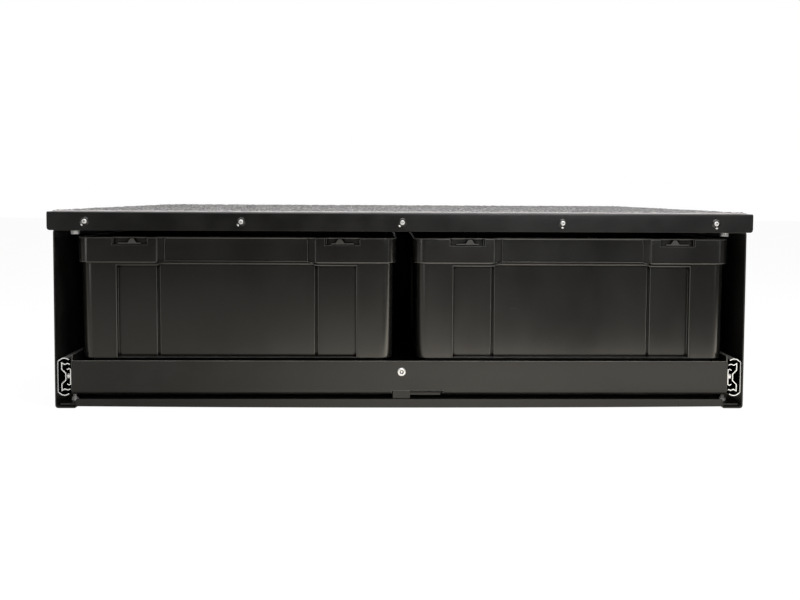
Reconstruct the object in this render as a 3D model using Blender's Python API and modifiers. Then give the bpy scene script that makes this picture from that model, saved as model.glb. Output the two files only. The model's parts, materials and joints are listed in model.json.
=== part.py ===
"""Drawer unit with a carpeted deck: a low sheet-metal carcass, one wide tray on three-section ball slides,
four open storage boxes standing in the tray, and a spring-loaded latch on the tray's front lip.

Metres, +Z up, the front faces -Y. The origin is under the middle of the object, on the floor.
"""

import math

import bmesh
import bpy
from mathutils import Matrix, Vector

# Deck
deck_width = 0.960
deck_depth = 0.700
board_thickness = 0.022
board_side_inset = 0.0015
carpet_thickness = 0.004
carpet_edge_round = 0.0012
trim_thickness = 0.0015
trim_height = 0.0253
trim_flange = 0.020
trim_bend_radius = 0.002
trim_low_corner = 0.004
trim_screw_height = 0.0122
trim_screw_end_inset = 0.0510
trim_screw_inner_share = 0.5093
screw_head_radius = 0.0042
screw_head_height = 0.0026
screw_head_edge = 0.0011
screw_recess_radius = 0.0017
screw_recess_depth = 0.0012
screw_shank_radius = 0.0021
screw_length = 0.018

# Carcass
plate_height = 0.245
plate_thickness = 0.002
deck_overhang = 0.0065
plate_front_inset = 0.0055
plate_rear_inset = 0.004
plate_flange = 0.027
plate_bend_radius = 0.003
stud_radius = 0.0025
stud_height = 0.0130
stud_from_wall = 0.0165
nut_across_flats = 0.008
nut_height = 0.0042
deck_bolt_across_flats = 0.010
deck_bolt_head = 0.0042
deck_bolt_washer = 0.0012
deck_bolt_washer_radius = 0.0062
deck_bolt_radius = 0.003
deck_bolt_length = 0.014
deck_bolt_from_wall = 0.0235
deck_bolt_from_end = 0.020
crossmember_depth = 0.060
crossmember_thickness = 0.0015
crossmember_lip = 0.0092
crossmember_bow = 0.0018
crossmember_front_inset = 0.0020
crossmember_end_taper = 0.004
crossmember_bend_radius = 0.0025
rear_panel_thickness = 0.0012
rear_panel_flange = 0.020
rear_panel_bend_radius = 0.003

# Slides, with the profile measured from the plate's face and from the slide's middle height
slide_height_middle = 0.0429
slide_front_inset = 0.0025
slide_rear_room = 0.038
slide_sheet = 0.0014
cabinet_web = 0.0009
cabinet_straight = 0.0210
cabinet_slope_x = 0.0062
cabinet_slope_z = 0.0250
cabinet_apex_x = 0.0098
cabinet_apex_z = 0.0257
cabinet_hook_x = 0.0134
cabinet_hook_z = 0.0249
cabinet_tip_x = 0.0161
cabinet_tip_z = 0.0232
middle_web = 0.0118
middle_web_half = 0.0046
middle_knee_x = 0.0064
middle_knee_z = 0.0100
middle_corner_z = 0.0190
middle_race_x = 0.0104
middle_race_z = 0.0168
middle_bump_x = 0.0142
middle_bump_z = 0.0183
middle_tip_x = 0.0177
middle_tip_z = 0.0170
drawer_web = 0.0183
drawer_web_half = 0.0102
drawer_race_x = 0.0160
drawer_race_z = 0.0113
drawer_tip_x = 0.0134
drawer_tip_z = 0.0098
outer_ball_radius = 0.0028
outer_ball_z = 0.0214
outer_ball_x = 0.0102
inner_ball_radius = 0.0019
inner_ball_z = 0.0146
inner_ball_x = 0.0152
cage_sheet = 0.0007
outer_cage_x = 0.0035
inner_cage_x = 0.0149
inner_cage_bend_x = 0.0103
inner_cage_bend_z = 0.0108
inner_cage_web_half = 0.0050
cage_length = 0.300
ball_pairs = 5
rivet_radius = 0.0022
rivet_head_radius = 0.0042
rivet_head_height = 0.0008
rivet_front_inset = 0.045
rivet_rear_inset = 0.070
middle_access_radius = 0.0030

# Tray
tray_rear_room = 0.0085
tray_sheet = 0.0015
tray_floor = 0.0177
tray_side_height = 0.0545
tray_lip_height = 0.0475
tray_bend_radius = 0.008
tray_corner_cut_x = 0.011
tray_corner_cut_z = 0.0045
tray_front_inset = 0.002
latch_cutout_left = 0.0135
latch_cutout_right = 0.0580
latch_cutout_height = 0.0062
latch_cutout_depth = 0.016

# Latch
latch_pivot_height = 0.0503
latch_plate = 0.0020
latch_half_width = 0.0120
latch_top_radius = 0.0120
latch_tab_depth = 0.0375
latch_arm_reach = 0.0535
latch_arm_low = 0.0326
latch_arm_high = 0.0291
pivot_head_radius = 0.0057
pivot_head_height = 0.0030
pivot_head_edge = 0.0009
pivot_socket_radius = 0.0030
pivot_socket_depth = 0.0018
pivot_radius = 0.0030
pivot_nut_across_flats = 0.0100
pivot_nut_height = 0.0030
spring_wire = 0.0008
spring_coil_radius = 0.0062
spring_turns = 2.25
spring_pitch = 0.0019
spring_leg = 0.012
spring_steps_per_turn = 16

# Storage boxes
box_side_room = 0.0010
box_middle_gap = 0.0238
box_headroom = 0.0103
box_rim_height = 0.035
box_rim_step = 0.0042
box_wall = 0.0025
box_corner_radius = 0.017
box_draft = 0.0035
box_panel_depth = 0.003
box_groove_depth = 0.0015
box_groove_half = 0.0018
box_corner_zone = 0.0508
box_centre_share = 0.24817
box_side_zone = 0.060
box_rim_centre_share = 0.22834
box_rim_setback = 0.002
box_foot_chamfer = 0.004
box_rim_edge = 0.0012
box_notch_share = 0.33105
box_notch_half = 0.0238
box_notch_height = 0.0108
box_notch_depth = 0.0034
box_notch_slope = 0.001
box_shift = 0.0040
box_row_gap = 0.004
box_lip_gap = 0.005
box_rear_room = 0.018
corner_steps = 6

# Fits
gap = 0.0003
hole_clearance = 0.0003
pivot_clearance = 0.00025

left, right = -1, 1
half_width = deck_width / 2
front = -(deck_depth - screw_head_height) / 2
rear = front + deck_depth
board_bottom = plate_height + gap
board_top = board_bottom + board_thickness
trim_top = board_top + gap + trim_thickness
trim_bottom = trim_top - trim_height
board_front = front + trim_thickness + gap
carpet_front = front + trim_flange + gap
plate_front = front + plate_front_inset
plate_rear = rear - plate_rear_inset
plate_inner = half_width - deck_overhang - plate_thickness
slide_face = plate_inner - gap
slide_front = plate_front + slide_front_inset
slide_rear = plate_rear - slide_rear_room
tray_front = plate_front + tray_front_inset
tray_rear = plate_rear - tray_rear_room
tray_inner_front = tray_front + tray_sheet
tray_inner_rear = tray_rear - tray_sheet
tray_top_of_floor = tray_floor + tray_sheet
cage_front = (slide_front + slide_rear - cage_length) / 2
slide_middle = slide_height_middle
tray_width = 2 * (slide_face - drawer_web - slide_sheet / 2 - gap)
box_front = tray_inner_front + box_lip_gap - box_rim_step
box_rim_width = (tray_width - 2 * tray_sheet - box_middle_gap - box_side_room) / 2
box_rim_depth = (tray_inner_rear - box_rear_room - box_row_gap - box_front) / 2
box_body_width = box_rim_width - 2 * box_rim_step
box_body_depth = box_rim_depth - 2 * box_rim_step
box_floor = tray_top_of_floor + gap
box_height = board_bottom - box_headroom - box_floor
box_centre_half = box_rim_width * box_centre_share
box_rim_centre_half = box_rim_width * box_rim_centre_share
box_notch_middle = box_rim_width * box_notch_share
latch_y = tray_inner_front + 2 * gap
nut_seat = plate_thickness + gap + crossmember_thickness + gap


def clear_scene():
    for obj in list(bpy.data.objects):
        bpy.data.objects.remove(obj, do_unlink=True)


clear_scene()
parts = bpy.data.collections.new("drawer_unit")
cutters = bpy.data.collections.new("cutters")
bpy.context.scene.collection.children.link(parts)
bpy.context.scene.collection.children.link(cutters)
cutters.hide_render = True


# Materials

def make_material(name, colour, roughness, metallic=0.0):
    material = bpy.data.materials.new(name)
    material.use_nodes = True
    shader = material.node_tree.nodes["Principled BSDF"]
    shader.inputs["Base Color"].default_value = (*colour, 1.0)
    shader.inputs["Roughness"].default_value = roughness
    shader.inputs["Metallic"].default_value = metallic
    return material


black_coat = make_material("black_powder_coat", (0.016, 0.016, 0.015), 0.45)
zinc = make_material("bright_zinc", (0.62, 0.62, 0.60), 0.32, 1.0)
steel = make_material("screw_steel", (0.72, 0.71, 0.69), 0.28, 1.0)
carpet_grey = make_material("carpet_grey", (0.27, 0.27, 0.27), 0.95)
board_brown = make_material("board_brown", (0.10, 0.07, 0.045), 0.75)
box_black = make_material("moulded_black", (0.022, 0.021, 0.019), 0.42)
spring_steel = make_material("spring_steel", (0.35, 0.35, 0.36), 0.35, 1.0)


# Helpers

def add_object(name, mesh, material, collection=None):
    obj = bpy.data.objects.new(name, mesh)
    (collection or parts).objects.link(obj)
    if material is not None:
        mesh.materials.clear()
        mesh.materials.append(material)
    return obj


def finish_mesh(name, bm):
    bmesh.ops.recalc_face_normals(bm, faces=bm.faces)
    mesh = bpy.data.meshes.new(name)
    bm.to_mesh(mesh)
    bm.free()
    return mesh


def block_mesh(name, low, high):
    bm = bmesh.new()
    bmesh.ops.create_cube(bm, size=1)
    size = Vector(high) - Vector(low)
    middle = (Vector(high) + Vector(low)) / 2
    bmesh.ops.transform(bm, matrix=Matrix.Translation(middle) @ Matrix.Diagonal((*size, 1)), verts=bm.verts)
    return finish_mesh(name, bm)


def evaluated_mesh(obj, name):
    graph = bpy.context.evaluated_depsgraph_get()
    mesh = bpy.data.meshes.new_from_object(obj.evaluated_get(graph))
    mesh.name = name
    mesh.transform(obj.matrix_world)
    return mesh


def bake(obj):
    """Replaces the object's modifiers with their result."""
    bpy.context.view_layer.update()
    mesh = evaluated_mesh(obj, obj.name)
    obj.modifiers.clear()
    obj.data = mesh
    obj.matrix_world = Matrix.Identity(4)
    return obj


def add_cutter(name, mesh):
    obj = add_object(name, mesh, None, cutters)
    obj.hide_render = True
    obj.display_type = "WIRE"
    return obj


def boolean(obj, cutter, operation="DIFFERENCE"):
    modifier = obj.modifiers.new(cutter.name, "BOOLEAN")
    modifier.operation = operation
    modifier.solver = "EXACT"
    modifier.object = cutter
    return modifier


def cylinder_mesh(name, radius, start, end, steps):
    """A cylinder from the point start to the point end."""
    start, end = Vector(start), Vector(end)
    along = end - start
    turn = Vector((0, 0, 1)).rotation_difference(along.normalized()).to_matrix().to_4x4()
    bm = bmesh.new()
    bmesh.ops.create_cone(bm, cap_ends=True, segments=steps, radius1=radius, radius2=radius, depth=along.length)
    bmesh.ops.transform(bm, matrix=Matrix.Translation((start + end) / 2) @ turn, verts=bm.verts)
    return finish_mesh(name, bm)


def shade(obj, angle=0.6):
    obj.data.shade_smooth()
    obj.data.set_sharp_from_angle(angle=angle)
    return obj


def turned_mesh(name, profile, steps=20):
    """A full turn of the profile of (radius, height) pairs about the Z axis, made with a spin."""
    bm = bmesh.new()
    verts = [bm.verts.new((radius, 0, height)) for radius, height in profile]
    edges = [bm.edges.new(pair) for pair in zip(verts, verts[1:])]
    bmesh.ops.spin(
        bm, geom=verts + edges, cent=(0, 0, 0), axis=(0, 0, 1), angle=math.tau, steps=steps, use_merge=True,
    )
    bmesh.ops.remove_doubles(bm, verts=bm.verts, dist=gap / 100)
    return finish_mesh(name, bm)


def bent_sheet(name, path, thickness, start, end, radius=0, bend_steps=3):
    """A sheet along the X-Z path, centred on it, running from start to end in Y."""
    bm = bmesh.new()
    verts = [bm.verts.new((x, start, z)) for x, z in path]
    edges = [bm.edges.new(pair) for pair in zip(verts, verts[1:])]
    made = bmesh.ops.extrude_edge_only(bm, edges=edges)
    moved = [item for item in made["geom"] if isinstance(item, bmesh.types.BMVert)]
    bmesh.ops.translate(bm, vec=(0, end - start, 0), verts=moved)
    if radius:
        bends = [edge for edge in bm.edges if len(edge.link_faces) == 2]
        bmesh.ops.bevel(
            bm, geom=bends, offset=radius, offset_type="OFFSET", segments=bend_steps, affect="EDGES", profile=0.5,
            material=-1,
        )
    bmesh.ops.recalc_face_normals(bm, faces=bm.faces)
    mesh = bpy.data.meshes.new(name)
    bm.to_mesh(mesh)
    bm.free()
    obj = bpy.data.objects.new(name, mesh)
    parts.objects.link(obj)
    solid = obj.modifiers.new("sheet", "SOLIDIFY")
    solid.thickness = thickness
    solid.offset = 0
    solid.use_even_offset = True
    return obj


# Deck: board, carpet and front trim with its five screws

screw_heights = trim_bottom + trim_screw_height
screw_reach = half_width - trim_screw_end_inset
screw_shares = (-1, -trim_screw_inner_share, 0, trim_screw_inner_share, 1)
screw_places = [screw_reach * share for share in screw_shares]


def make_deck():
    board = add_object(
        "deck_board",
        block_mesh(
            "deck_board", (-half_width + board_side_inset, board_front, board_bottom),
            (half_width - board_side_inset, rear, board_top),
        ),
        board_brown,
    )
    bevel_edges(
        board, trim_bend_radius, 1,
        lambda start, end: max(start.y, end.y) < board_front + gap and min(start.z, end.z) > board_top - gap,
    )
    carpet_mesh = block_mesh(
        "deck_carpet", (-half_width + board_side_inset, carpet_front, board_top + gap),
        (half_width - board_side_inset, rear, board_top + gap + carpet_thickness),
    )
    carpet = add_object("deck_carpet", carpet_mesh, carpet_grey)
    rounding = carpet.modifiers.new("rounding", "BEVEL")
    rounding.width = carpet_edge_round
    rounding.segments = 2
    bake(carpet)

    angle_path = [
        (front + trim_thickness / 2, trim_bottom),
        (front + trim_thickness / 2, trim_top - trim_thickness / 2),
        (front + trim_flange, trim_top - trim_thickness / 2),
    ]
    trim = bent_sheet("deck_front_trim", angle_path, trim_thickness, -half_width, half_width, trim_bend_radius)
    # The sheet runs along Y, so a quarter turn lays it across the front.
    bake(trim)
    trim.data.transform(Matrix(((0, 1, 0, 0), (1, 0, 0, 0), (0, 0, 1, 0), (0, 0, 0, 1))))
    trim.data.flip_normals()
    trim.data.materials.clear()
    trim.data.materials.append(black_coat)
    bevel_edges(trim, trim_low_corner, 4, is_low_end)
    for number, x in enumerate(screw_places, 1):
        hole = add_cutter(
            f"trim_hole_{number}",
            cylinder_mesh(
                "trim_hole", screw_shank_radius + hole_clearance,
                (x, front - trim_thickness, screw_heights), (x, front + screw_length + gap, screw_heights), 12,
            ),
        )
        boolean(trim, hole)
        boolean(board, hole)
    for side in (left, right):
        for name, y in deck_bolt_rows():
            hole = add_cutter(
                f"deck_bolt_hole_{name}_{side_name(side)}",
                cylinder_mesh(
                    "deck_bolt_hole", deck_bolt_radius + hole_clearance,
                    (side * deck_bolt_x, y, board_bottom - trim_thickness),
                    (side * deck_bolt_x, y, board_bottom + deck_bolt_length - plate_thickness), 12,
                ),
            )
            boolean(board, hole)
    bake(trim)
    bake(board)
    for number, x in enumerate(screw_places, 1):
        make_trim_screw(number, x)


def bevel_edges(obj, width, segments, chosen):
    """Rounds the edges for which chosen(start, end) holds."""
    bm = bmesh.new()
    bm.from_mesh(obj.data)
    edges = [edge for edge in bm.edges if chosen(edge.verts[0].co, edge.verts[1].co)]
    bmesh.ops.bevel(
        bm, geom=edges, offset=width, offset_type="OFFSET", segments=segments, affect="EDGES", profile=0.5,
        material=-1,
    )
    bm.to_mesh(obj.data)
    bm.free()


def is_low_end(start, end):
    """Whether this edge runs through the trim's sheet at one of its two lower corners."""
    low = max(start.z, end.z) < trim_bottom + gap
    at_end = min(abs(start.x), abs(end.x)) > half_width - gap
    return low and at_end and abs(start.y - end.y) > trim_thickness / 2


def side_name(side):
    return "left" if side < 0 else "right"


deck_bolt_x = plate_inner - deck_bolt_from_wall + plate_thickness


def deck_bolt_rows():
    return (("front", plate_front + deck_bolt_from_end), ("rear", plate_rear - deck_bolt_from_end))


def make_trim_screw(number, x):
    profile = [
        (0, screw_head_height - screw_recess_depth),
        (screw_recess_radius, screw_head_height - screw_recess_depth),
        (screw_recess_radius, screw_head_height),
        (screw_head_radius - screw_head_edge, screw_head_height),
        (screw_head_radius - screw_head_edge / 3, screw_head_height - screw_head_edge / 2),
        (screw_head_radius, screw_head_height - screw_head_edge),
        (screw_head_radius, gap),
        (screw_shank_radius, gap),
        (screw_shank_radius, -screw_length + screw_shank_radius),
        (0, -screw_length),
    ]
    mesh = turned_mesh(f"trim_screw_{number}", profile, 16)
    mesh.transform(Matrix.Rotation(math.pi / 2, 4, "X"))
    screw = add_object(f"trim_screw_{number}", mesh, steel)
    screw.location = (x, front, screw_heights)
    shade(screw)


# Carcass: two bent side plates, two cross-members, nuts and deck bolts

def make_side_plate(side):
    web = side * (plate_inner + plate_thickness / 2)
    tip = side * (plate_inner + plate_thickness - plate_flange)
    low = plate_thickness / 2
    high = plate_height - plate_thickness / 2
    path = [(tip, low), (web, low), (web, high), (tip, high)]
    plate = bent_sheet(
        f"side_plate_{side_name(side)}", path, plate_thickness, plate_front, plate_rear, plate_bend_radius
    )
    bake(plate)
    plate.data.materials.append(black_coat)
    for name, y in deck_bolt_rows():
        hole = add_cutter(
            f"plate_hole_{name}_{side_name(side)}",
            cylinder_mesh(
                "plate_hole", deck_bolt_radius + hole_clearance,
                (side * deck_bolt_x, y, plate_height - 2 * plate_thickness),
                (side * deck_bolt_x, y, plate_height + plate_thickness), 12,
            ),
        )
        boolean(plate, hole)
    for name, y in crossmember_rows():
        stud = add_cutter(
            f"stud_{name}_{side_name(side)}",
            cylinder_mesh(
                "stud", stud_radius, (side * stud_x, y, plate_thickness / 2), (side * stud_x, y, stud_height), 14,
            ),
        )
        boolean(plate, stud, "UNION")
    for name, y in rivet_rows():
        hole = add_cutter(
            f"plate_rivet_hole_{name}_{side_name(side)}",
            cylinder_mesh(
                "plate_rivet_hole", rivet_radius + hole_clearance,
                (side * (plate_inner - plate_thickness), y, slide_middle),
                (side * (plate_inner + 2 * plate_thickness), y, slide_middle), 12,
            ),
        )
        boolean(plate, hole)
    bake(plate)


stud_x = plate_inner - stud_from_wall + plate_thickness


def crossmember_rows():
    return (
        ("front", plate_front + crossmember_front_inset + crossmember_depth / 2),
        ("rear", plate_rear - crossmember_front_inset - crossmember_depth / 2),
    )


def rivet_rows():
    return (("front", slide_front + rivet_front_inset), ("rear", slide_rear - rivet_rear_inset))


def make_crossmember(name, y, facing):
    """A shallow channel with upturned lips. The lip that faces out has a slightly bowed lower edge."""
    seat = plate_thickness + gap
    half_depth = crossmember_depth / 2
    half_sheet = crossmember_thickness / 2
    reach = plate_inner - gap - crossmember_end_taper
    lip_reach = plate_inner + plate_thickness - plate_flange - gap
    path = [
        (-half_depth + half_sheet, seat + half_sheet + crossmember_lip),
        (-half_depth + half_sheet, seat + half_sheet),
        (half_depth - half_sheet, seat + half_sheet),
        (half_depth - half_sheet, seat + half_sheet + crossmember_lip),
    ]
    member = bent_sheet(
        f"base_crossmember_{name}", path, crossmember_thickness, -reach, reach, crossmember_bend_radius
    )
    bake(member)
    member.data.transform(Matrix(((0, 1, 0, 0), (1, 0, 0, 0), (0, 0, 1, 0), (0, 0, 0, 1))))
    member.data.flip_normals()
    member.data.materials.append(black_coat)
    # The outer face's skirt hangs below the seat between the two plates' flanges.
    bow_steps = 16
    bm = bmesh.new()
    top = seat + crossmember_bend_radius + crossmember_thickness
    outline = [bm.verts.new((-lip_reach, -half_depth, top)), bm.verts.new((lip_reach, -half_depth, top))]
    for step in range(bow_steps + 1):
        share = 1 - 2 * step / bow_steps
        low = gap + crossmember_bow * share * share
        outline.append(bm.verts.new((share * lip_reach, -half_depth, low)))
    face = bm.faces.new(outline)
    made = bmesh.ops.extrude_face_region(bm, geom=[face])
    moved = [item for item in made["geom"] if isinstance(item, bmesh.types.BMVert)]
    bmesh.ops.translate(bm, vec=(0, crossmember_thickness, 0), verts=moved)
    skirt = add_cutter(f"skirt_{name}", finish_mesh("skirt", bm))
    boolean(member, skirt, "UNION")
    for side in (left, right):
        hole = add_cutter(
            f"member_hole_{name}_{side_name(side)}",
            cylinder_mesh(
                "member_hole", stud_radius + hole_clearance, (side * stud_x, 0, 0),
                (side * stud_x, 0, stud_height), 14,
            ),
        )
        boolean(member, hole)
        corner = add_cutter(
            f"member_corner_{name}_{side_name(side)}",
            block_mesh(
                "member_corner",
                (side * (lip_reach + (reach - lip_reach) / 2) - (reach - lip_reach) / 2 - gap,
                 -half_depth - crossmember_thickness, seat + crossmember_thickness + crossmember_bend_radius),
                (side * (lip_reach + (reach - lip_reach) / 2) + (reach - lip_reach) / 2 + gap,
                 half_depth + crossmember_thickness, seat + crossmember_lip + 2 * crossmember_thickness),
            ),
        )
        boolean(member, corner)
    bake(member)
    member.data.transform(Matrix.Translation((0, y, 0)) @ Matrix.Diagonal((1, facing, 1, 1)))
    if facing < 0:
        member.data.flip_normals()


def make_rear_panel():
    """A thin sheet that closes the rear behind the cross-member, with a flange forward along each side plate."""
    web = plate_rear - crossmember_front_inset + gap + rear_panel_thickness / 2
    half = plate_inner - gap - rear_panel_thickness / 2
    low = plate_thickness + plate_bend_radius
    high = plate_height - plate_thickness - plate_bend_radius
    path = [(-half, web - rear_panel_flange), (-half, web), (half, web), (half, web - rear_panel_flange)]
    panel = bent_sheet("rear_panel", path, rear_panel_thickness, low, high, rear_panel_bend_radius)
    bake(panel)
    # The sheet runs along Y, so a quarter turn stands it up.
    panel.data.transform(Matrix(((1, 0, 0, 0), (0, 0, 1, 0), (0, 1, 0, 0), (0, 0, 0, 1))))
    panel.data.flip_normals()
    panel.data.materials.append(black_coat)


def hexagon_mesh(name, across_flats, low, high):
    bm = bmesh.new()
    radius = across_flats / math.sqrt(3)
    bmesh.ops.create_cone(bm, cap_ends=True, segments=6, radius1=radius, radius2=radius, depth=high - low)
    bmesh.ops.translate(bm, vec=(0, 0, (high + low) / 2), verts=bm.verts)
    return finish_mesh(name, bm)


def make_nut(name, place, across_flats, height, hole_radius):
    nut = add_object(name, hexagon_mesh(name, across_flats, 0, height), steel)
    hole = add_cutter(
        f"{name}_hole", cylinder_mesh("nut_hole", hole_radius, (0, 0, -height), (0, 0, 2 * height), 14)
    )
    boolean(nut, hole)
    bake(nut)
    nut.location = place
    return nut


def make_deck_bolt(name, x, y):
    head = deck_bolt_head + deck_bolt_washer
    bolt = add_object(name, hexagon_mesh(name, deck_bolt_across_flats, -head, -deck_bolt_washer / 2), steel)
    washer = add_cutter(
        f"{name}_washer",
        cylinder_mesh("washer", deck_bolt_washer_radius, (0, 0, -deck_bolt_washer), (0, 0, -gap), 18),
    )
    shank = add_cutter(
        f"{name}_shank",
        cylinder_mesh("shank", deck_bolt_radius, (0, 0, -deck_bolt_washer), (0, 0, deck_bolt_length), 12),
    )
    boolean(bolt, washer, "UNION")
    boolean(bolt, shank, "UNION")
    bake(bolt)
    bolt.location = (x, y, plate_height - plate_thickness)


def make_carcass():
    for side in (left, right):
        make_side_plate(side)
        for name, y in deck_bolt_rows():
            make_deck_bolt(f"deck_bolt_{name}_{side_name(side)}", side * deck_bolt_x, y)
        for name, y in crossmember_rows():
            make_nut(
                f"base_nut_{name}_{side_name(side)}", (side * stud_x, y, nut_seat), nut_across_flats, nut_height,
                stud_radius + hole_clearance,
            )
    for (name, y), facing in zip(crossmember_rows(), (1, -1)):
        make_crossmember(name, y, facing)
    make_rear_panel()


# Slides: cabinet, middle and drawer members with two ball cages on each side

def mirrored(half_path):
    """A path through the half above the slide's middle and then its mirror image below."""
    return half_path + [(x, -z) for x, z in reversed(half_path)]


cabinet_path = mirrored([
    (cabinet_tip_x, cabinet_tip_z), (cabinet_hook_x, cabinet_hook_z), (cabinet_apex_x, cabinet_apex_z),
    (cabinet_slope_x, cabinet_slope_z), (cabinet_web, cabinet_straight),
])
middle_path = mirrored([
    (middle_tip_x, middle_tip_z), (middle_bump_x, middle_bump_z), (middle_race_x, middle_race_z),
    (middle_knee_x, middle_corner_z), (middle_knee_x, middle_knee_z), (middle_web, middle_web_half),
])
drawer_path = mirrored([
    (drawer_tip_x, drawer_tip_z), (drawer_race_x, drawer_race_z), (drawer_web, drawer_web_half),
])
outer_cage_path = mirrored([
    (outer_ball_x, outer_ball_z), (outer_cage_x, outer_ball_z),
])
inner_cage_path = mirrored([
    (inner_ball_x, inner_ball_z), (inner_cage_bend_x, inner_cage_bend_z + inner_ball_radius),
    (inner_cage_bend_x, inner_cage_bend_z - inner_ball_radius), (inner_cage_x, inner_cage_web_half),
])


def slide_sheet_object(name, path, side, sheet, start, end):
    placed = [(side * (slide_face - x), slide_middle + z) for x, z in path]
    return bake(bent_sheet(name, placed, sheet, start, end))


def make_member(kind, path, side, holes):
    member = slide_sheet_object(
        f"slide_{kind}_{side_name(side)}", path, side, slide_sheet, slide_front, slide_rear
    )
    member.data.materials.append(zinc)
    for number, (y, radius) in enumerate(holes, 1):
        hole = add_cutter(
            f"{member.name}_hole_{number}",
            cylinder_mesh(
                "member_hole", radius, (side * (slide_face + slide_sheet), y, slide_middle),
                (side * (slide_face - drawer_web - slide_sheet), y, slide_middle), 12,
            ),
        )
        boolean(member, hole)
    return member


def make_cage(kind, path, side, ball_radius, ball_x, ball_z):
    cage = slide_sheet_object(
        f"ball_cage_{kind}_{side_name(side)}", path, side, cage_sheet, cage_front, cage_front + cage_length
    )
    cage.data.materials.append(zinc)
    step = cage_length / ball_pairs
    for number in range(ball_pairs):
        y = cage_front + step * (number + 1 / 2)
        for level in (-1, 1):
            bm = bmesh.new()
            bmesh.ops.create_uvsphere(bm, u_segments=6, v_segments=5, radius=ball_radius)
            bmesh.ops.translate(
                bm, vec=(side * (slide_face - ball_x), y, slide_middle + level * ball_z), verts=bm.verts
            )
            ball = add_cutter(f"{cage.name}_ball_{number}_{level}", finish_mesh("ball", bm))
            boolean(cage, ball, "UNION")
    bake(cage)


def make_rivet(name, side, inner_face, outer_face, y):
    """A rivet along X with a low head on both faces of what it holds."""
    profile = [
        (0, -rivet_head_height - gap),
        (rivet_head_radius, -gap - rivet_head_height / 2),
        (rivet_head_radius, -gap),
        (rivet_radius, -gap),
        (rivet_radius, outer_face - inner_face + gap),
        (rivet_head_radius, outer_face - inner_face + gap),
        (rivet_head_radius, outer_face - inner_face + gap + rivet_head_height / 2),
        (0, outer_face - inner_face + gap + rivet_head_height),
    ]
    mesh = turned_mesh(name, profile, 14)
    mesh.transform(Matrix.Rotation(math.pi / 2, 4, "Y"))
    if side < 0:
        mesh.transform(Matrix.Diagonal((-1, 1, 1, 1)))
        mesh.flip_normals()
    rivet = add_object(name, mesh, steel)
    rivet.location = (side * inner_face, y, slide_middle)
    shade(rivet)


def make_slides():
    for side in (left, right):
        holes = [(y, rivet_radius + hole_clearance) for _, y in rivet_rows()]
        passing = [(y, middle_access_radius) for _, y in rivet_rows()]
        bake(make_member("cabinet", cabinet_path, side, holes))
        bake(make_member("middle", middle_path, side, passing))
        bake(make_member("drawer", drawer_path, side, holes))
        make_cage("outer", outer_cage_path, side, outer_ball_radius, outer_ball_x, outer_ball_z)
        make_cage("inner", inner_cage_path, side, inner_ball_radius, inner_ball_x, inner_ball_z)
        for name, y in rivet_rows():
            make_rivet(
                f"cabinet_rivet_{name}_{side_name(side)}", side,
                slide_face - cabinet_web - slide_sheet / 2, plate_inner + plate_thickness, y,
            )
            make_rivet(
                f"drawer_rivet_{name}_{side_name(side)}", side,
                tray_width / 2 - tray_sheet, slide_face - drawer_web + slide_sheet / 2, y,
            )


# Tray: a bent pan with a lower front lip and a cut-out for the latch

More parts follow.
